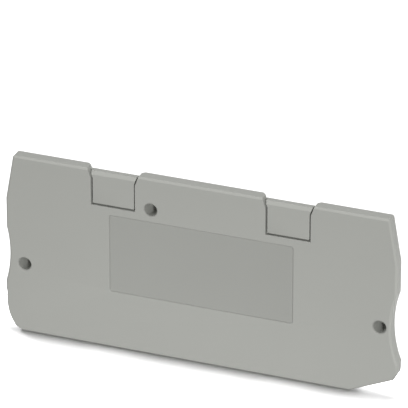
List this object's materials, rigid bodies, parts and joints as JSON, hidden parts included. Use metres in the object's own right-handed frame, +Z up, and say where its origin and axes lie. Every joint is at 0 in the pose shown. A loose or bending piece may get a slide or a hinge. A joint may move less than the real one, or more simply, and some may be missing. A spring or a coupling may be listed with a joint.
{
  "type": "terminal block end cover",
  "caption": "Flat moulded end plate that closes a row of rail-mounted terminal blocks, with break-out tabs in its top edge, a recessed label panel and snap pins on its back.",
  "frame": {"origin": "on the bottom edge, at half the plate's length and half its thickness", "axes": "+X along the plate towards the end with the slanted underside, +Y from the front face through the plate to the snap pins, +Z up from the bottom edge to the tabs"},
  "size_m": [0.0694, 0.0038, 0.0325],
  "materials": {
    "grey_polyamide": "fine matt moulded grain"
  },
  "bodies": {
    "root": {"end_cover": "grey_polyamide"}
  },
  "joints": []
}
